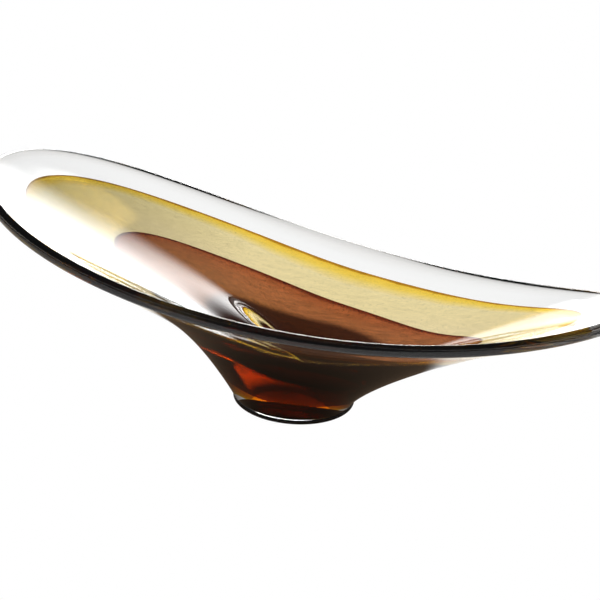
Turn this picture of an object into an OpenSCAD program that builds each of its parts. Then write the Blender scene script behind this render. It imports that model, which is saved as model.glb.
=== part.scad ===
// Oblong bowl of cased glass with two raised ends, on a small round foot.
// Each gather of glass is its own solid. Neighbours meet face to face.
// Frame: origin at the centre of the foot's flat base, +X towards the narrow, lower end,
// +Y across the bowl, +Z up. Millimetres.

/* [Rim] */
// Length of the bowl over both ends
bowl_length = 370; // [300:1:400]
// Distance of the rim's middle from the foot's axis, towards the narrow end
rim_shift = 2.4; // [0:0.1:6]
// Half of the rim's width before the egg shape narrows and widens it
rim_half_width = 72.5; // [65:0.5:85]
// How much the high end is wider than the low end
rim_egg = 0.38; // [0.1:0.01:0.42]
// How full the rim's outline is at its shoulders
rim_fullness = 0.075; // [0:0.005:0.1]
// Height of the lip's middle at the wide, high end
high_end = 111; // [100:1:120]
// Height of the lip's middle at the narrow, low end
low_end = 85; // [80:1:95]
// Height of the lip's middle at the two sides
side_height = 68; // [64:1:74]
// Upward turn of the low end's tip
tip_turn = 1.5; // [0:0.1:2]
// Thickness of the rounded lip
lip_thickness = 7.2; // [6:0.1:8]

/* [Foot] */
// Radius of the round foot
foot_radius = 34; // [31:0.5:36]
// Height of the foot pad
foot_height = 3; // [2.5:0.1:4]
// Radius of the polished edge under the foot
foot_edge = 1; // [0.5:0.1:1.4]

/* [Outside wall] */
// Outward reach of the wall's first bend, as a part of the wall's width
stem_out = 0.18; // [0.17:0.01:0.22]
// How much further that bend reaches at the high end than at the sides
stem_out_swing = 0.17; // [0.05:0.01:0.17]
// Upward reach of the wall's first bend, as a part of the wall's height
stem_up = 0.41; // [0.36:0.01:0.46]
// How much further that bend rises at the high end than at the sides
stem_up_swing = 0.29; // [0.1:0.01:0.3]
// Outward place of the wall's second bend, as a part of the wall's width
flare_out = 0.52; // [0.5:0.01:0.56]
// Upward place of the wall's second bend, as a part of the wall's height
flare_up = 0.71; // [0.69:0.01:0.74]

/* [Basin] */
// Height of the basin's floor on the foot's axis
basin_floor = 26; // [25:0.5:30]
// Radius of the floor before it turns up into the wall
basin_radius = 30; // [25:1:34]
// Rise of that radius towards the high end, and its fall towards the low end
basin_tilt = 18; // [14:1:20]
// Reach of the inside wall's last bend, as a part of the rim's radius
inside_reach = 0.32; // [0.26:0.01:0.34]

/* [Gathers] */
// Thickness of the clear inner gather in the wall
inner_gather = 1.6; // [1.2:0.1:1.8]
// Thickness of each colour gather in the wall
colour_gather = 0.9; // [0.6:0.1:1]
// How far up the wall the brown gather reaches, as a part of the way to the lip
brown_reach = 0.606; // [0.56:0.002:0.63]
// How much further the brown gather reaches towards the high end
brown_swing = 0.016; // [0:0.002:0.04]
// How far up the wall the amber gather reaches, as a part of the way to the lip
amber_reach = 0.859; // [0.8:0.001:0.88]
// How much further the amber gather reaches towards the high end
amber_swing = 0.018; // [0:0.002:0.03]
// How square the shoulders of both colour gathers are
colour_shoulder = 0.016; // [0:0.002:0.02]

/* [Stem core] */
// Lowest height of the brown core on the foot's axis
brown_low = 8; // [7:0.5:10]
// How far the brown core bulges out, as its curve's control radius
brown_bulge = 36; // [30:1:38]
// Lowest height of the amber core on the foot's axis
amber_low = 4; // [3.8:0.1:5]
// How far the amber core bulges out, as its curve's control radius
amber_bulge = 46; // [42:1:48]
// How straight the cores join the wall, as a part of the joint's radius
core_draw = 0.5; // [0.45:0.01:0.55]
// Where the cores join the wall, as a part of the brown gather's reach
core_reach = 0.72; // [0.68:0.01:0.74]

/* [Hidden] */

// Columns round the bowl, and rows from the basin's middle to the lip.
columns = 64;
brown_rows = 11;
amber_rows = 5;
clear_rows = 3;
lip_rows = 4;
wall_rows = 12;

lip_radius = lip_thickness / 2;
rim_half_length = bowl_length / 2 - lip_radius;
rim_mean = (high_end + low_end) / 4 + side_height / 2;
rim_lean = (low_end - high_end) / 2 - tip_turn;
rim_saddle = (high_end + low_end) / 4 - side_height / 2;

// The lip's middle line: an egg in plan, raised at both ends.
function rim_x(a) = rim_shift + rim_half_length * cos(a);
function rim_y(a) = rim_half_width * sin(a) * (1 - rim_egg * cos(a) + rim_fullness * cos(2 * a));
function rim_z(a) = rim_mean + rim_lean * cos(a) + rim_saddle * cos(2 * a) + tip_turn * cos(3 * a);
function rim_r(a) = norm([rim_x(a), rim_y(a)]);

// A cubic curve through four control values, and its rate of change.
function curve(c, s) = pow(1 - s, 3) * c[0] + 3 * pow(1 - s, 2) * s * c[1]
    + 3 * (1 - s) * s * s * c[2] + pow(s, 3) * c[3];
function curve_rate(c, s) = 3 * pow(1 - s, 2) * (c[1] - c[0]) + 6 * (1 - s) * s * (c[2] - c[1])
    + 3 * s * s * (c[3] - c[2]);

// Slope of the wall at the lip, and the lip's outward and upward directions as [radius, height].
function lip_slope(a) = (1 - flare_up) * (rim_z(a) - foot_height)
    / ((1 - flare_out) * (rim_r(a) - foot_radius));
function lip_out(a) = [1, lip_slope(a)] / norm([1, lip_slope(a)]);
function lip_up(a) = [-lip_out(a)[1], lip_out(a)[0]];
function lip_middle(a) = [rim_r(a), rim_z(a)];
function lip_point(a, turn) = lip_middle(a) + lip_radius * (lip_out(a) * cos(turn) + lip_up(a) * sin(turn));

// Control values of the outside wall, from the foot to the lip's underside.
function outer_radii(a) = let (end = lip_point(a, -90)[0], width = end - foot_radius)
    [foot_radius, foot_radius + width * (stem_out - stem_out_swing * cos(a)),
     foot_radius + width * flare_out, end];
function outer_heights(a) = let (end = lip_point(a, -90)[1], height = end - foot_height)
    [foot_height, foot_height + height * (stem_up - stem_up_swing * cos(a)),
     foot_height + height * flare_up, end];
function outer_wall(s, a) = [curve(outer_radii(a), s), curve(outer_heights(a), s)];

// Control values of the inside, from the basin's middle to the lip's upper side.
function inner_radii(a) = let (end = lip_point(a, 90)[0])
    [0, basin_radius, end * (1 - inside_reach), end];
function inner_heights(a) = let (end = lip_point(a, 90))
    [basin_floor, basin_floor - basin_tilt * cos(a),
     end[1] - end[0] * inside_reach * lip_slope(a), end[1]];

// A point at a depth under the inside. The depth is square to the wall, and upright at the middle.
function below_inside(s, a, depth) =
    let (dr = curve_rate(inner_radii(a), s), dz = curve_rate(inner_heights(a), s),
         turn = 1 - pow(1 - s, 3), run = norm([dr, dz]))
    [curve(inner_radii(a), s) + depth * turn * dz / run,
     curve(inner_heights(a), s) - depth * (1 - turn * (1 - dr / run))];

// How far each colour gather reaches at an angle round the bowl.
function brown_edge(a) = brown_reach - brown_swing * cos(a) + colour_shoulder * cos(4 * a);
function amber_edge(a) = amber_reach - amber_swing * cos(a) + colour_shoulder * cos(4 * a);

// Thickness of a colour gather in the wall: even, and round at its edge.
function colour_depth(s, edge) = s >= edge ? 0 : colour_gather * sqrt(1 - pow(s / edge, 8));

// Depths of the seams in the wall: below the clear gather, the brown and the amber.
function seam_depth(s) = inner_gather + (lip_radius - inner_gather) * pow(s, 6);
function brown_depth(s, a) = seam_depth(s) + colour_depth(s, brown_edge(a));
function amber_depth(s, a) = brown_depth(s, a) + colour_depth(s, amber_edge(a));

// A colour gather's core in the stem: it leaves the axis level and joins the wall along its slope.
function core_join(a) = core_reach * brown_edge(a);
function core_point(way, a, depth, low, bulge) =
    let (join = core_join(a), end = below_inside(join, a, depth),
         slope = [curve_rate(inner_radii(a), join), curve_rate(inner_heights(a), join)],
         bend = end - slope * core_draw * end[0] / norm(slope))
    [curve([0, bulge, bend[0], end[0]], way), curve([low, low, bend[1], end[1]], way)];

// Undersides of the colour gathers: the core in the stem, then the depth in the wall.
function brown_underside(s, a) = let (join = core_join(a))
    s < join ? core_point(s / join, a, brown_depth(join, a), brown_low, brown_bulge)
    : below_inside(s, a, brown_depth(s, a));
function amber_underside(s, a) = let (join = core_join(a))
    s < join ? core_point(s / join, a, amber_depth(join, a), amber_low, amber_bulge)
    : below_inside(s, a, amber_depth(s, a));

// Rows from the basin's middle: to the brown edge, on to the amber edge, and on to the lip.
function row_place(row, a) =
    row <= brown_rows ? brown_edge(a) * sin(90 * row / brown_rows)
    : row <= brown_rows + amber_rows
        ? brown_edge(a) + (amber_edge(a) - brown_edge(a)) * sin(90 * (row - brown_rows) / amber_rows)
        : amber_edge(a) + (1 - amber_edge(a)) * (row - brown_rows - amber_rows) / clear_rows;
all_rows = brown_rows + amber_rows + clear_rows;

// A ring of points at one row: the middle is a single point, and the others go round the bowl.
function in_space(p, a) = let (turn = atan2(rim_y(a), rim_x(a))) [p[0] * cos(turn), p[0] * sin(turn), p[1]];
function column_angle(i) = 360 * i / columns;
function inside_ring(row) = [for (i = [0:columns - 1]) let (a = column_angle(i))
    in_space(below_inside(row_place(row, a), a, 0), a)];
function seam_ring(row) = [for (i = [0:columns - 1]) let (a = column_angle(i), s = row_place(row, a))
    in_space(below_inside(s, a, seam_depth(s)), a)];
function brown_ring(row) = [for (i = [0:columns - 1]) let (a = column_angle(i), s = row_place(row, a))
    in_space(brown_underside(s, a), a)];
function amber_ring(row) = [for (i = [0:columns - 1]) let (a = column_angle(i), s = row_place(row, a))
    in_space(amber_underside(s, a), a)];
function wall_ring(row) = [for (i = [0:columns - 1]) let (a = column_angle(i))
    in_space(outer_wall(row / wall_rows, a), a)];
function lip_ring(turn) = [for (i = [0:columns - 1]) let (a = column_angle(i))
    in_space(lip_point(a, turn), a)];

// A closed skin over rings that run from a single first point to a single last point.
module skin(first, rings, last) {
    count = len(rings);
    points = concat([first], [for (ring = rings) each ring], [last]);
    function at(ring, i) = 1 + ring * columns + i % columns;
    faces = concat(
        [for (i = [0:columns - 1]) [0, at(0, i + 1), at(0, i)]],
        [for (k = [0:count - 2], i = [0:columns - 1]) [at(k, i), at(k + 1, i + 1), at(k + 1, i)]],
        [for (k = [0:count - 2], i = [0:columns - 1]) [at(k, i), at(k, i + 1), at(k + 1, i + 1)]],
        [for (i = [0:columns - 1]) [len(points) - 1, at(count - 1, i), at(count - 1, i + 1)]]);
    polyhedron(points, faces);
}

function middle_point(height) = [0, 0, height];
function reversed(rings) = [for (k = [len(rings) - 1:-1:0]) rings[k]];

// Clear outer gather: the outside wall, the stem and the lower half of the lip.
module outer_casing() {
    color([0.86, 0.88, 0.86, 0.35])
        skin(middle_point(amber_low),
            concat([for (row = [1:all_rows]) amber_ring(row)],
                [for (k = [0:lip_rows - 1]) lip_ring(-90 * k / lip_rows)],
                reversed([for (row = [0:wall_rows]) wall_ring(row)])),
            [0, 0, foot_height]);
}

// Amber colour gather under the brown one and beyond it, with its core in the stem.
module amber_layer() {
    color([0.88, 0.64, 0.12, 0.6])
        skin(middle_point(brown_low),
            concat([for (row = [1:brown_rows + amber_rows]) brown_ring(row)],
                reversed([for (row = [1:brown_rows + amber_rows - 1]) amber_ring(row)])),
            middle_point(amber_low));
}

// Brown colour gather that covers the basin and fills the middle of the stem.
module brown_layer() {
    color([0.42, 0.16, 0.07, 0.75])
        skin(middle_point(basin_floor - seam_depth(0)),
            concat([for (row = [1:brown_rows]) seam_ring(row)],
                reversed([for (row = [1:brown_rows - 1]) brown_ring(row)])),
            middle_point(brown_low));
}

// Clear inner gather: the inside wall and the upper half of the lip.
module inner_casing() {
    color([0.92, 0.94, 0.93, 0.35])
        skin(middle_point(basin_floor),
            concat([for (row = [1:all_rows]) inside_ring(row)],
                [for (k = [lip_rows - 1:-1:0]) lip_ring(90 * k / lip_rows)],
                reversed([for (row = [1:all_rows]) seam_ring(row)])),
            middle_point(basin_floor - seam_depth(0)));
}

// Brown foot pad with a ground and polished flat base and a rounded lower edge.
module foot() {
    color([0.36, 0.14, 0.05, 0.8])
        rotate_extrude($fn = 96)
            intersection() {
                union() {
                    translate([0, foot_edge])
                        square([foot_radius, foot_height - foot_edge]);
                    square([foot_radius - foot_edge, foot_height]);
                    translate([foot_radius - foot_edge, foot_edge])
                        circle(foot_edge, $fn = 32);
                }
                square([foot_radius, foot_height]);
            }
}

outer_casing();
amber_layer();
brown_layer();
inner_casing();
foot();
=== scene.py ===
"""Oblong bowl of cased glass: clear gathers over an amber and a brown one, on a round foot.

Metres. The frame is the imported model's: origin at the centre of the foot's flat base,
+X towards the narrow, lower end, +Y across the bowl, +Z up.
"""

import math

import bpy
import numpy as np
from mathutils import Matrix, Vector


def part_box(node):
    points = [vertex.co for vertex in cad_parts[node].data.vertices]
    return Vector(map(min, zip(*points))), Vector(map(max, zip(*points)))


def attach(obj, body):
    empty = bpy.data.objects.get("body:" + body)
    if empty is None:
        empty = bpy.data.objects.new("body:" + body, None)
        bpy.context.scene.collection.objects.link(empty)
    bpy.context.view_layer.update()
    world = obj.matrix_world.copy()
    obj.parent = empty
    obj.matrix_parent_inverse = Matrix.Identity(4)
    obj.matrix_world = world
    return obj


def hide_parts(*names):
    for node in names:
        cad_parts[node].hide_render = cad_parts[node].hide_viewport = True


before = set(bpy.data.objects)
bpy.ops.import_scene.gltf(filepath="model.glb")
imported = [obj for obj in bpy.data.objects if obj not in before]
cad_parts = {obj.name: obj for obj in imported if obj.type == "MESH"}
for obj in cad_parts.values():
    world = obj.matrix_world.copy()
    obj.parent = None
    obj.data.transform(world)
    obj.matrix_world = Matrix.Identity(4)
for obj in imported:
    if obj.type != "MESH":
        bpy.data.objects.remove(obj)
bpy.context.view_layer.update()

MM = 0.001

# ---------------------------------------------------------------- driving dimensions
foot_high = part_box("foot")[1]
FOOT_RADIUS = foot_high.x
FOOT_HEIGHT = foot_high.z
FOOT_EDGE = 1.0 * MM
BOWL_LENGTH = 370.0 * MM
LIP_RADIUS = 3.6 * MM

RIM_SHIFT = 2.4 * MM
RIM_HALF_LENGTH = BOWL_LENGTH / 2 - LIP_RADIUS
RIM_HALF_WIDTH = 72.5 * MM
RIM_EGG = 0.38
RIM_FULLNESS = 0.075
HIGH_END = 111.0 * MM
LOW_END = 85.0 * MM
SIDE_HEIGHT = 68.0 * MM
TIP_TURN = 1.5 * MM

STEM_OUT, STEM_OUT_SWING = 0.18, 0.17
STEM_UP, STEM_UP_SWING = 0.41, 0.29
FLARE_OUT, FLARE_UP = 0.52, 0.71

BASIN_FLOOR = 26.0 * MM
BASIN_RADIUS = 30.0 * MM
BASIN_TILT = 18.0 * MM
INSIDE_REACH = 0.32

INNER_GATHER = 1.6 * MM
COLOUR_GATHER = 0.9 * MM
BROWN_CORE = (8.0 * MM, 36.0 * MM)
AMBER_CORE = (4.0 * MM, 46.0 * MM)
CORE_DRAW = 0.5
CORE_REACH = 0.72
BROWN_REACH, BROWN_SWING = 0.606, 0.016
AMBER_REACH, AMBER_SWING = 0.859, 0.018
COLOUR_SHOULDER = 0.016

# A hair's breadth between gathers, so that no two faces lie in one place.
SEAM_GAP = 0.02 * MM

# Columns round the bowl, and rows of each stretch of a skin.
COLUMNS = 288
BROWN_ROWS, AMBER_ROWS, CLEAR_ROWS = 30, 20, 16
LIP_ROWS = 10
WALL_ROWS = 48
FOOT_EDGE_ROWS = 8
# How much the outside wall's rows crowd towards the foot, as a power of the way up.
WALL_CROWDING = 1.5

# ---------------------------------------------------------------- the bowl's shape
# One angle per column, anticlockwise from the low end, as a row array.
angle = np.linspace(0.0, 2 * math.pi, COLUMNS, endpoint=False)[None, :]


def cubic(c, s):
    """Cubic curve: each control value weighted by the cubic Bernstein terms of s."""
    return (1 - s) ** 3 * c[0] + 3 * (1 - s) ** 2 * s * c[1] + 3 * (1 - s) * s**2 * c[2] + s**3 * c[3]


def cubic_rate(c, s):
    """Rate of change of the cubic: the three control steps weighted by the square terms of s."""
    return (3 * (1 - s) ** 2 * (c[1] - c[0]) + 6 * (1 - s) * s * (c[2] - c[1])
            + 3 * s**2 * (c[3] - c[2]))


rim_x = RIM_SHIFT + RIM_HALF_LENGTH * np.cos(angle)
rim_y = RIM_HALF_WIDTH * np.sin(angle) * (1 - RIM_EGG * np.cos(angle) + RIM_FULLNESS * np.cos(2 * angle))
rim_z = ((HIGH_END + LOW_END) / 4 + SIDE_HEIGHT / 2
         + ((LOW_END - HIGH_END) / 2 - TIP_TURN) * np.cos(angle)
         + ((HIGH_END + LOW_END) / 4 - SIDE_HEIGHT / 2) * np.cos(2 * angle)
         + TIP_TURN * np.cos(3 * angle))
rim_r = np.hypot(rim_x, rim_y)
turn = np.arctan2(rim_y, rim_x)

lip_slope = (1 - FLARE_UP) * (rim_z - FOOT_HEIGHT) / ((1 - FLARE_OUT) * (rim_r - FOOT_RADIUS))
lip_cos = 1 / np.hypot(1, lip_slope)
lip_sin = lip_slope * lip_cos


def lip_point(tilt):
    """Round lip: a circle about its middle line, at an angle from outwards (0) to upwards (90)."""
    c, s = math.cos(math.radians(tilt)), math.sin(math.radians(tilt))
    return (rim_r + LIP_RADIUS * (lip_cos * c - lip_sin * s),
            rim_z + LIP_RADIUS * (lip_sin * c + lip_cos * s))


under_r, under_z = lip_point(-90)
upper_r, upper_z = lip_point(90)

outer_radii = (FOOT_RADIUS,
               FOOT_RADIUS + (under_r - FOOT_RADIUS) * (STEM_OUT - STEM_OUT_SWING * np.cos(angle)),
               FOOT_RADIUS + (under_r - FOOT_RADIUS) * FLARE_OUT,
               under_r)
outer_heights = (FOOT_HEIGHT,
                 FOOT_HEIGHT + (under_z - FOOT_HEIGHT) * (STEM_UP - STEM_UP_SWING * np.cos(angle)),
                 FOOT_HEIGHT + (under_z - FOOT_HEIGHT) * FLARE_UP,
                 under_z)
inner_radii = (0.0, BASIN_RADIUS, upper_r * (1 - INSIDE_REACH), upper_r)
inner_heights = (BASIN_FLOOR, BASIN_FLOOR - BASIN_TILT * np.cos(angle),
                 upper_z - upper_r * INSIDE_REACH * lip_slope, upper_z)


def in_space(r, z):
    """Points at a radius and height on the upright plane of each column."""
    return np.stack([r * np.cos(turn), r * np.sin(turn), z + 0 * r], axis=-1)


def below(s, depth):
    """Radius and height of a point on the inside cubic, moved down by a depth square to it.

    The move turns from upright at the middle to square as 1 less the cube of (1 - s).
    """
    dr, dz = cubic_rate(inner_radii, s), cubic_rate(inner_heights, s)
    run = np.hypot(dr, dz)
    eased = 1 - (1 - s) ** 3
    return (cubic(inner_radii, s) + depth * eased * dz / run,
            cubic(inner_heights, s) - depth * (1 - eased * (1 - dr / run)))


def below_inside(s, depth):
    """The same point in space, on the upright plane of each column."""
    return in_space(*below(s, depth))


brown_edge = BROWN_REACH - BROWN_SWING * np.cos(angle) + COLOUR_SHOULDER * np.cos(4 * angle)
amber_edge = AMBER_REACH - AMBER_SWING * np.cos(angle) + COLOUR_SHOULDER * np.cos(4 * angle)


def colour_depth(s, edge):
    """Thickness of a colour gather in the wall: even, and round at its edge."""
    return COLOUR_GATHER * np.sqrt(1 - np.clip(s / edge, 0, 1) ** 8)


def seam_depth(s):
    """Thickness of the clear inner gather: even in the wall, and half of the lip at the rim."""
    return INNER_GATHER + (LIP_RADIUS - INNER_GATHER) * s**6


def brown_depth(s):
    """Depth of the brown gather's underside: the clear gather's thickness and its own."""
    return seam_depth(s) + colour_depth(s, brown_edge)


def amber_depth(s):
    """Depth of the amber gather's underside: the brown gather's depth and its own thickness."""
    return brown_depth(s) + colour_depth(s, amber_edge)


def under_colour(s, depth, core):
    """Underside of a colour gather: at its depth in the wall, and a solid core in the stem.

    The core is a cubic that leaves the axis level, at its low height, bulges out to its width,
    and joins the wall part along its slope.
    """
    low, bulge = core
    join = CORE_REACH * brown_edge
    r, z = below(join, depth(join))
    dr, dz = cubic_rate(inner_radii, join), cubic_rate(inner_heights, join)
    draw = CORE_DRAW * r / np.hypot(dr, dz)
    way = np.clip(s / join, 0, 1)
    core_r = cubic((0, bulge, r - draw * dr, r), way)
    core_z = cubic((low, low, z - draw * dz, z), way)
    wall_r, wall_z = below(s, depth(s))
    return in_space(np.where(s < join, core_r, wall_r), np.where(s < join, core_z, wall_z))


def rows_between(start, end, count):
    """Rows that crowd towards the end as a sine does, without the start row."""
    step = np.sin(np.linspace(0, math.pi / 2, count + 1))[1:, None]
    return start + (end - start) * step


row_brown = rows_between(0 * angle, brown_edge, BROWN_ROWS)
row_amber = rows_between(brown_edge, amber_edge, AMBER_ROWS)
row_clear = amber_edge + (1 - amber_edge) * np.linspace(0, 1, CLEAR_ROWS + 1)[1:, None]
row_all = np.concatenate([row_brown, row_amber, row_clear])
row_colour = row_all[: BROWN_ROWS + AMBER_ROWS]


def middle_point(height):
    """The point on the foot's axis at a height."""
    return np.array([0.0, 0.0, height])


def lip_rings(start, end):
    """Rings of the round lip between two tilts, without the end ring."""
    tilts = np.linspace(start, end, LIP_ROWS + 1)[:-1]
    return np.stack([in_space(*lip_point(t))[0] for t in tilts])


def lowered(points, drop):
    """Points moved straight down by a drop."""
    return points - middle_point(drop)


# ---------------------------------------------------------------- meshes
def closed_skin(name, first, rings, last, ring_slots, materials, lengths=(), flat=()):
    """Closed mesh: a fan at a first point, bands of quads between rings, a fan at a last point.

    rings is (count, columns, 3) and turns anticlockwise seen from outside the first point.
    ring_slots gives the material of the first fan, of each band, and of the last fan.
    lengths are (name, one length for every point) pairs, kept as attributes that colours read.
    flat lists the fans, as places in ring_slots, that meet the next band at a sharp edge.
    """
    count = len(rings)
    points = np.concatenate([first[None], rings.reshape(-1, 3), last[None]])
    column = np.arange(COLUMNS)
    beside = (column + 1) % COLUMNS
    start = 1 + COLUMNS * np.arange(count)[:, None]
    first_point = np.zeros_like(column)
    last_point = np.full_like(column, len(points) - 1)
    fan_first = np.stack([first_point, start[0] + column, start[0] + beside], axis=-1)
    fan_last = np.stack([last_point, start[-1] + beside, start[-1] + column], axis=-1)
    bands = np.stack([start[:-1] + column, start[1:] + column, start[1:] + beside, start[:-1] + beside],
                     axis=-1)
    corners = np.concatenate([fan_first.ravel(), bands.ravel(), fan_last.ravel()])
    sizes = np.repeat([3, 4, 3], [COLUMNS, (count - 1) * COLUMNS, COLUMNS])
    mesh = bpy.data.meshes.new(name)
    mesh.vertices.add(len(points))
    mesh.vertices.foreach_set("co", points.ravel())
    mesh.loops.add(len(corners))
    mesh.loops.foreach_set("vertex_index", corners)
    mesh.polygons.add(len(sizes))
    mesh.polygons.foreach_set("loop_start", np.cumsum(sizes) - sizes)
    mesh.polygons.foreach_set("material_index", np.repeat(ring_slots, COLUMNS))
    smooth = np.ones(len(ring_slots), bool)
    smooth[list(flat)] = False
    mesh.polygons.foreach_set("use_smooth", np.repeat(smooth, COLUMNS))
    for material in materials:
        mesh.materials.append(material)
    for label, values in lengths:
        mesh.attributes.new(label, "FLOAT", "POINT").data.foreach_set("value", values)
    mesh.update(calc_edges=True)
    mesh.validate()
    piece = bpy.data.objects.new(name, mesh)
    bpy.context.scene.collection.objects.link(piece)
    return piece


def way_to_edge(rings, first):
    """Length along each column from every point to the last ring, and its mean from the middle.

    first is the middle point that the rings start from.
    """
    steps = np.diff(np.concatenate([np.broadcast_to(first, rings[:1].shape), rings]), axis=0)
    along = np.cumsum(np.linalg.norm(steps, axis=-1), axis=0)
    return along[-1] - along, float(along[-1].mean())


# ---------------------------------------------------------------- materials
def node_tree(name):
    """An empty node material, with its tree and its output node."""
    material = bpy.data.materials.new(name)
    material.use_nodes = True
    tree = material.node_tree
    tree.nodes.clear()
    return material, tree, tree.nodes.new("ShaderNodeOutputMaterial")


def add(tree, kind, inputs=None, **settings):
    """A node with its settings and its inputs, where an input may be a socket or a value."""
    node = tree.nodes.new(kind)
    for key, value in settings.items():
        setattr(node, key, value)
    for key, value in (inputs or {}).items():
        if isinstance(value, bpy.types.NodeSocket):
            tree.links.new(value, node.inputs[key])
        else:
            node.inputs[key].default_value = value
    return node


def noise(tree, scale, detail, stretch=(1, 1, 1)):
    """Noise on Object coordinates. scale is in grains for each metre, and stretch is along X, Y, Z."""
    place = add(tree, "ShaderNodeTexCoord")
    fitted = add(tree, "ShaderNodeMapping", {"Vector": place.outputs["Object"], "Scale": stretch})
    return add(tree, "ShaderNodeTexNoise",
               {"Vector": fitted.outputs[0], "Scale": scale, "Detail": detail}).outputs["Fac"]


def spread(tree, value, low, high, to_low, to_high, kind="LINEAR"):
    """Maps a value from one range to another, held at both ends."""
    return add(tree, "ShaderNodeMapRange",
               {"Value": value, "From Min": low, "From Max": high, "To Min": to_low, "To Max": to_high},
               interpolation_type=kind).outputs["Result"]


def times(tree, a, b):
    """One colour multiplied by another colour or value."""
    return add(tree, "ShaderNodeMix", {"Factor": 1, "A": a, "B": b},
               data_type="RGBA", blend_type="MULTIPLY").outputs["Result"]


def blend(tree, share, a, b):
    """One colour at a share of 0, another at 1, and a straight blend between."""
    return add(tree, "ShaderNodeMix", {"Factor": share, "A": a, "B": b},
               data_type="RGBA").outputs["Result"]


def ramp_of(tree, value, stops, reach, kind="LINEAR"):
    """Colour from a value by steps between (value, colour) stops, up to a reach."""
    ramp = add(tree, "ShaderNodeValToRGB", {"Fac": spread(tree, value, 0, reach, 0, 1)})
    ramp.color_ramp.interpolation = kind
    places = ramp.color_ramp.elements
    while len(places) < len(stops):
        places.new(0.5)
    for place, (at, colour) in zip(places, stops):
        place.position = at / reach
        place.color = (*colour, 1)
    return ramp.outputs["Color"]


# Light is bent at the outer faces of glass, and not where two gathers are fused.
GLASS_IOR, FUSED_IOR = 1.5, 1.0
# Each noise is (grains for each metre, detail, stretch), and each range is the part of it that is used.
DRIFT_NOISE, DRIFT_RANGE = (14, 2), (0.3, 0.7)
RIPPLE_NOISE = (22, 1, (0.6, 1.4, 1.0))
WOBBLE_NOISE, WOBBLE_RANGE = (60, 3), (0.25, 0.75)
SPECK_NOISE, SPECK_RANGE = (900, 2), (0.56, 0.68)
STREAK_NOISE, STREAK_RANGE = (650, 3, (0.10, 1, 1)), (0.40, 0.68)
# How far a colour gather's edge colours wander to either side.
WOBBLE = 0.6 * MM
# The stretch of X over which the colour glass's painted shade at the high end fades out to none.
PAINTED_SHADE_END = (-150 * MM, -40 * MM)
# How far the density of dyed glass lies over the largest share that it takes off.
DENSITY_ROOM = 1.25

# Painted shade on the thick lip, for the dark that the round lip bends in: dark grey at its outermost line,
# and clear 12 mm in.
LIP_SHADE_STOPS = ((0, (0.16, 0.155, 0.15)), (1.2 * MM, (0.24, 0.235, 0.23)), (2.2 * MM, (0.52, 0.51, 0.50)),
             (3.2 * MM, (0.68, 0.67, 0.66)), (4.5 * MM, (0.80, 0.79, 0.78)), (7.0 * MM, (0.92, 0.91, 0.90)),
             (12 * MM, (1, 1, 1)))


def clear_glass(name, tint, wave, lip=False, body=None, shine=0.5):
    """Fire-polished glass: a tint that drifts half-way to white, and the slow ripple of blown glass.

    wave is the height of the ripple, lip adds painted shade, grey towards the lip's outer line, body is
    what each metre of depth takes off, and shine is how strongly the face mirrors, where 0.5 is plain
    glass.
    """
    material, tree, out = node_tree(name)
    drift = spread(tree, noise(tree, *DRIFT_NOISE), *DRIFT_RANGE, 0, 1)
    paler = 0.5 + 0.5 * np.array(tint)
    colour = blend(tree, drift, (*tint, 1), (*paler, 1))
    if lip:
        # Painted shade: the glass greys towards the lip's outer line.
        from_lip = add(tree, "ShaderNodeAttribute", attribute_name="from_lip").outputs["Fac"]
        colour = times(tree, colour, ramp_of(tree, from_lip, LIP_SHADE_STOPS, LIP_SHADE_STOPS[-1][0]))
    ripple = add(tree, "ShaderNodeBump",
                 {"Height": noise(tree, *RIPPLE_NOISE), "Strength": 1.0, "Distance": wave})
    glass = add(tree, "ShaderNodeBsdfPrincipled",
                {"Base Color": colour, "Normal": ripple.outputs["Normal"], "Roughness": 0.0,
                 "IOR": GLASS_IOR, "Specular IOR Level": shine, "Transmission Weight": 1.0})
    tree.links.new(glass.outputs[0], out.inputs["Surface"])
    if body:
        dyed_through(tree, out, body)
    return material


def fused_seam(name, body=None):
    """The face where two gathers are fused: light goes straight through it and keeps its colour.

    body is what each metre of the glass behind it takes off.
    """
    material, tree, out = node_tree(name)
    glass = add(tree, "ShaderNodeBsdfPrincipled",
                {"Base Color": (1, 1, 1, 1), "Roughness": 0.0, "IOR": FUSED_IOR,
                 "Transmission Weight": 1.0})
    tree.links.new(glass.outputs[0], out.inputs["Surface"])
    if body:
        dyed_through(tree, out, body)
    return material


def dyed_through(tree, out, body):
    """Colour in the depth of the glass: what it takes off red, green and blue in each metre.

    Absorption takes off density x (1 - colour), so colour is 1 less each share over the density.
    """
    density = DENSITY_ROOM * max(body)
    left = [1 - share / density for share in body]
    absorb = add(tree, "ShaderNodeVolumeAbsorption", {"Color": (*left, 1), "Density": density})
    tree.links.new(absorb.outputs[0], out.inputs["Volume"])


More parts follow.
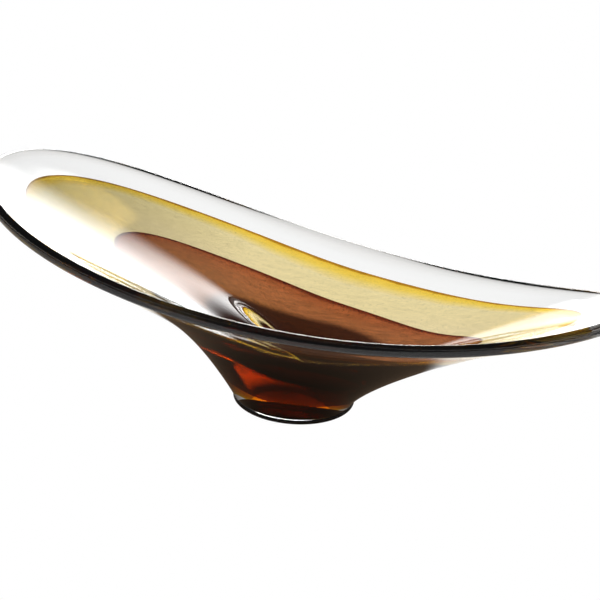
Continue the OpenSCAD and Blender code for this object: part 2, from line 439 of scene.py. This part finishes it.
def colour_glass(name, edge_stops, high_end_shade, body, grain, streak):
    """Transparent colour glass fused into clear: its colour follows the way in from its edge.

    edge_stops are (metres from the edge, colour), high_end_shade is what the painted shade at the high end
    leaves of it, body is what each metre of its depth takes off, grain is the share that fine
    specks take off, and streak what long drawn-out streaks take off.
    """
    material, tree, out = node_tree(name)
    reach = add(tree, "ShaderNodeAttribute", attribute_name="reach").outputs["Fac"]
    wobble = spread(tree, noise(tree, *WOBBLE_NOISE), *WOBBLE_RANGE, -WOBBLE, WOBBLE)
    way = add(tree, "ShaderNodeMath", {0: reach, 1: wobble}, operation="ADD").outputs[0]
    thin = ramp_of(tree, way, edge_stops, edge_stops[-1][0])
    specks = spread(tree, noise(tree, *SPECK_NOISE), *SPECK_RANGE, 1, 1 - grain)
    streaks = spread(tree, noise(tree, *STREAK_NOISE), *STREAK_RANGE, 1, 1 - streak)
    place = add(tree, "ShaderNodeTexCoord").outputs["Object"]
    along = add(tree, "ShaderNodeSeparateXYZ", {0: place}).outputs["X"]
    # Painted shade: the colour glass darkens towards the high end.
    end_shade = ramp_of(tree, spread(tree, along, *PAINTED_SHADE_END, 0, 1), ((0, high_end_shade), (1, (1, 1, 1))), 1)
    colour = times(tree, times(tree, times(tree, thin, end_shade), specks), streaks)
    glass = add(tree, "ShaderNodeBsdfPrincipled",
                {"Base Color": colour, "Roughness": 0.0, "IOR": FUSED_IOR,
                 "Transmission Weight": 1.0})
    tree.links.new(glass.outputs[0], out.inputs["Surface"])
    dyed_through(tree, out, body)
    return material


CLEAR_TINT = (0.985, 0.99, 0.985)
FOOT_TINT = (0.30, 0.13, 0.06)
# Shares of red, green and blue taken off in each metre.
BROWN_BODY = (42, 72, 240)
AMBER_BODY = (10, 45, 300)
FOOT_BODY = (150, 260, 500)
RIPPLE = 0.05 * MM
OUTSIDE_SHINE = 0.25
outside_glass = clear_glass("outer_clear_glass", CLEAR_TINT, RIPPLE, lip=True, shine=OUTSIDE_SHINE)
inside_glass = clear_glass("inner_clear_glass", CLEAR_TINT, RIPPLE, lip=True)
foot_glass = clear_glass("foot_brown_glass", FOOT_TINT, 0.5 * RIPPLE, body=FOOT_BODY)
seam = fused_seam("fused_seam")
dyed_seam = fused_seam("foot_fused_seam", body=FOOT_BODY)
# Colour of each colour gather by the way in from its edge.
AMBER_STOPS = ((0, (0.45, 0.20, 0.006)), (1.0 * MM, (0.50, 0.24, 0.01)), (1.8 * MM, (0.93, 0.62, 0.07)),
               (4.5 * MM, (0.93, 0.68, 0.12)), (10 * MM, (0.88, 0.76, 0.48)), (40 * MM, (0.87, 0.75, 0.54)))
BROWN_STOPS = ((0, (0.16, 0.03, 0.012)), (1.2 * MM, (0.20, 0.035, 0.014)), (2.6 * MM, (0.46, 0.15, 0.09)),
               (9 * MM, (0.50, 0.21, 0.145)), (30 * MM, (0.53, 0.25, 0.18)), (70 * MM, (0.48, 0.22, 0.16)))
# Each gather's colour at the high end is darkened by painted shade.
amber = colour_glass("amber_glass", AMBER_STOPS, high_end_shade=(0.50, 0.50, 0.42), body=AMBER_BODY,
                     grain=0.14, streak=0.08)
brown = colour_glass("brown_glass", BROWN_STOPS, high_end_shade=(0.85, 0.85, 0.85), body=BROWN_BODY,
                     grain=0.35, streak=0.20)

# ---------------------------------------------------------------- pieces
# Places of the two materials of a casing or of the foot.
GLASS_FACE, SEAM_FACE = 0, 1

# Clear inner gather: the inside, the upper half of the lip, and back along its seam.
inside_rings = below_inside(row_all, 0 * row_all)
inner_seam_rings = below_inside(row_all, seam_depth(row_all))
inside_skin = np.concatenate([inside_rings, lip_rings(90, 0)[1:], in_space(*lip_point(0))])
from_lip, middle_from_lip = way_to_edge(inside_skin, middle_point(BASIN_FLOOR))
inner_casing = closed_skin(
    "inner_casing_glass", middle_point(BASIN_FLOOR),
    np.concatenate([inside_skin, inner_seam_rings[::-1]]), middle_point(BASIN_FLOOR - seam_depth(0)),
    [GLASS_FACE] * (len(row_all) + LIP_ROWS) + [SEAM_FACE] * (len(row_all) + 1),
    [inside_glass, seam],
    [("from_lip", np.concatenate([[middle_from_lip], from_lip.ravel(),
                                  np.zeros(inner_seam_rings[..., 0].size), [0]]))])
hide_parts("inner_casing")

# Clear outer gather: along its seam, the lower half of the lip, and down the outside to the foot.
outer_seam_rings = lowered(under_colour(row_all, amber_depth, AMBER_CORE), 2 * SEAM_GAP)
wall_step = np.linspace(0, 1, WALL_ROWS + 1)[::-1, None] ** WALL_CROWDING
wall_rings = in_space(cubic(outer_radii, wall_step), cubic(outer_heights, wall_step))
lip_gap = math.degrees(SEAM_GAP / LIP_RADIUS)
outside_skin = np.concatenate([in_space(*lip_point(-lip_gap)), lip_rings(0, -90)[1:], wall_rings])
from_lip, middle_from_lip = way_to_edge(outside_skin[::-1], middle_point(FOOT_HEIGHT))
outer_casing = closed_skin(
    "outer_casing_glass", middle_point(AMBER_CORE[0] - 2 * SEAM_GAP),
    np.concatenate([outer_seam_rings, outside_skin]), middle_point(FOOT_HEIGHT),
    [SEAM_FACE] * (len(row_all) + 1) + [GLASS_FACE] * (LIP_ROWS + WALL_ROWS) + [SEAM_FACE],
    [outside_glass, seam],
    [("from_lip", np.concatenate([[0], np.zeros(outer_seam_rings[..., 0].size),
                                  from_lip[::-1].ravel(), [middle_from_lip]]))], flat=[-1])
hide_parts("outer_casing")


def colour_piece(name, rows, top, top_middle, floor, floor_middle, node, material):
    """A colour gather: its top skin, its round edge and its floor, which share the edge ring."""
    top_way, middle_way = way_to_edge(top, top_middle)
    reach = np.concatenate([[middle_way], top_way.ravel(), top_way[:-1][::-1].ravel(), [middle_way]])
    piece = closed_skin(name, top_middle, np.concatenate([top, floor[:-1][::-1]]), floor_middle,
                        [0] * (2 * len(rows)), [material], [("reach", reach)])
    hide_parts(node)
    return piece


brown_layer = colour_piece(
    "brown_layer_glass", row_brown,
    lowered(below_inside(row_brown, seam_depth(row_brown)), SEAM_GAP),
    middle_point(BASIN_FLOOR - seam_depth(0) - SEAM_GAP),
    under_colour(row_brown, brown_depth, BROWN_CORE), middle_point(BROWN_CORE[0]),
    "brown_layer", brown)
amber_layer = colour_piece(
    "amber_layer_glass", row_colour,
    lowered(under_colour(row_colour, brown_depth, BROWN_CORE), SEAM_GAP),
    middle_point(BROWN_CORE[0] - SEAM_GAP),
    under_colour(row_colour, amber_depth, AMBER_CORE), middle_point(AMBER_CORE[0]),
    "amber_layer", amber)


def foot_rings():
    """Profile of the foot pad carried round: an upright side, and a quarter circle under it."""
    bend = np.radians(np.linspace(0, 90, FOOT_EDGE_ROWS + 1))
    r = np.concatenate([[FOOT_RADIUS], FOOT_RADIUS - FOOT_EDGE * (1 - np.cos(bend))])
    z = np.concatenate([[FOOT_HEIGHT - SEAM_GAP], FOOT_EDGE * (1 - np.sin(bend))])
    around = angle[0]
    return np.stack([r[:, None] * np.cos(around), r[:, None] * np.sin(around), z[:, None] + 0 * around],
                    axis=-1)


pad_rings = foot_rings()
foot = closed_skin("foot_glass", middle_point(FOOT_HEIGHT - SEAM_GAP), pad_rings,
                   middle_point(0.0), [SEAM_FACE] + [GLASS_FACE] * len(pad_rings),
                   [foot_glass, dyed_seam], flat=[0, -1])
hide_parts("foot")

for piece in (inner_casing, outer_casing, brown_layer, amber_layer, foot):
    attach(piece, "root")


# ---------------------------------------------------------------- camera
AZIMUTH, ELEVATION, ROLL = math.radians(12), math.radians(24.6), math.radians(4)
DISTANCE = 1.7
LENS = 184.1
AIM = np.array([0.0, 0.0, 0.050])
AIM_SHIFT = (0.0004, 0.0093)
FAR_CLIP = 100


def stood(side, up, out, place):
    """Matrix of a thing whose local X, Y and Z point along three given directions, at a place."""
    return Matrix([*np.stack([side, up, out, place], axis=-1).tolist(), [0, 0, 0, 1]])


# The way back from the aim to the camera, and the picture's right and up, turned by the roll.
back = np.array([math.sin(AZIMUTH) * math.cos(ELEVATION), -math.cos(AZIMUTH) * math.cos(ELEVATION),
                 math.sin(ELEVATION)])
level = np.array([math.cos(AZIMUTH), math.sin(AZIMUTH), 0.0])
upright = np.cross(back, level)
right = math.cos(ROLL) * level + math.sin(ROLL) * upright
up = -math.sin(ROLL) * level + math.cos(ROLL) * upright
place = AIM + AIM_SHIFT[0] * right + AIM_SHIFT[1] * up + DISTANCE * back
camera = bpy.data.objects.new("camera", bpy.data.cameras.new("camera"))
camera.data.lens = LENS
camera.data.clip_end = FAR_CLIP
camera.matrix_world = stood(right, up, back, place)
bpy.context.scene.collection.objects.link(camera)
bpy.context.scene.camera = camera

# ---------------------------------------------------------------- stage and light
FLOOR_HALF = 4.0
FLOOR_DROP = 0.1 * MM
# The floor's glow by distance from the middle of the bowl's warm shade, as a share of its half-size.
SHADE_MIDDLE = (-8 * MM, 4 * MM, 0.0)
SHADE_HALF = (88 * MM, 66 * MM)
FLOOR_REACH = 3.0
FLOOR_GLOW = ((0.0, (0.13, 0.09, 0.06)), (0.95, (0.13, 0.09, 0.06)), (1.12, (0.90, 0.89, 0.87)),
              (1.6, (1.0, 1.0, 1.0)))
# A bright soft panel behind the bowl. It fades in and out over two ranges of the way out's rise,
# ends at a soft straight edge on each side, and is dimmer over its far left.
PANEL_GLOW = 10.0
PANEL_FADE_IN, PANEL_FADE_OUT = (0.03, 0.20), (0.38, 0.50)
PANEL_LEFT_SLOPE, PANEL_LEFT_EDGE = (1, 0.325, 1), (0, 0.12)
PANEL_RIGHT_SLOPE, PANEL_RIGHT_EDGE = (-1, 0.25, 0), (-0.04, 0.04)
PANEL_DIM_RANGE, PANEL_DIM_SHARE = (-0.40, -0.25), 0.4
# A dark room round it, which is a little lighter near the floor.
ROOM_FOOT, ROOM_TOP = 0.30, 0.12
ROOM_RANGE = (0.05, 0.30)
CLEAR_BOUNCES, GLOSSY_BOUNCES = 32, 12


def white_to_camera(tree, colour):
    """Even white for what the camera sees directly, and a light's colour for everything else."""
    seen = add(tree, "ShaderNodeLightPath").outputs["Is Camera Ray"]
    return blend(tree, seen, colour, (1, 1, 1, 1))


def floor_material():
    """Pale floor that gives an even white, and is darker to other rays right under the bowl."""
    material, tree, out = node_tree("pale_floor")
    place = add(tree, "ShaderNodeTexCoord").outputs["Object"]
    away = add(tree, "ShaderNodeVectorMath", {0: place, 1: SHADE_MIDDLE}, operation="SUBTRACT").outputs[0]
    size = (1 / SHADE_HALF[0], 1 / SHADE_HALF[1], 0)
    share = add(tree, "ShaderNodeVectorMath", {0: away, 1: size}, operation="MULTIPLY").outputs[0]
    distance = add(tree, "ShaderNodeVectorMath", {0: share}, operation="LENGTH").outputs["Value"]
    glow = ramp_of(tree, distance, FLOOR_GLOW, FLOOR_REACH, "EASE")
    light = add(tree, "ShaderNodeEmission", {"Color": white_to_camera(tree, glow), "Strength": 1.0})
    tree.links.new(light.outputs[0], out.inputs["Surface"])
    return material


def plain_floor(half):
    """A flat square floor just under the foot's base."""
    mesh = bpy.data.meshes.new("floor")
    mesh.from_pydata([(-half, -half, 0), (half, -half, 0), (half, half, 0), (-half, half, 0)], [],
                     [(0, 1, 2, 3)])
    mesh.materials.append(floor_material())
    piece = bpy.data.objects.new("floor", mesh)
    piece.location.z = -FLOOR_DROP
    bpy.context.scene.collection.objects.link(piece)


def product(tree, a, b):
    """One value multiplied by another."""
    return add(tree, "ShaderNodeMath", {0: a, 1: b}, operation="MULTIPLY").outputs[0]


def side_of(tree, way_out, slope, edge):
    """0 to 1 across a soft straight edge: the way out measured along a slope."""
    along = add(tree, "ShaderNodeVectorMath", {0: way_out, 1: slope}, operation="DOT_PRODUCT")
    return spread(tree, along.outputs["Value"], *edge, 0, 1, "SMOOTHSTEP")


def panel_glow(tree, way_out, side, rise):
    """The panel's glow: its fade in, fade out, left edge, right edge and dim left, multiplied."""
    panel = product(tree, spread(tree, rise, *PANEL_FADE_IN, 0, PANEL_GLOW, "SMOOTHSTEP"),
                    spread(tree, rise, *PANEL_FADE_OUT, 1, 0, "SMOOTHSTEP"))
    panel = product(tree, panel, side_of(tree, way_out, PANEL_LEFT_SLOPE, PANEL_LEFT_EDGE))
    panel = product(tree, panel, side_of(tree, way_out, PANEL_RIGHT_SLOPE, PANEL_RIGHT_EDGE))
    return product(tree, panel, spread(tree, side, *PANEL_DIM_RANGE, PANEL_DIM_SHARE, 1, "SMOOTHSTEP"))


def studio():
    """World light: the panel's glow added to the dark room's, which fades with the rise."""
    world = bpy.data.worlds.new("studio")
    world.use_nodes = True
    tree = world.node_tree
    tree.nodes.clear()
    way_out = add(tree, "ShaderNodeTexCoord").outputs["Generated"]
    axes = add(tree, "ShaderNodeSeparateXYZ", {0: way_out}).outputs
    panel = panel_glow(tree, way_out, axes["X"], axes["Z"])
    room = spread(tree, axes["Z"], *ROOM_RANGE, ROOM_FOOT, ROOM_TOP)
    total = add(tree, "ShaderNodeMath", {0: panel, 1: room}, operation="ADD").outputs[0]
    sky = add(tree, "ShaderNodeBackground", {"Color": white_to_camera(tree, total), "Strength": 1.0})
    tree.links.new(sky.outputs[0], add(tree, "ShaderNodeOutputWorld").inputs["Surface"])
    return world


plain_floor(FLOOR_HALF)
scene = bpy.context.scene
scene.world = studio()
scene.view_settings.view_transform = "Standard"
scene.cycles.max_bounces = CLEAR_BOUNCES
scene.cycles.transmission_bounces = CLEAR_BOUNCES
scene.cycles.transparent_max_bounces = CLEAR_BOUNCES
scene.cycles.glossy_bounces = GLOSSY_BOUNCES
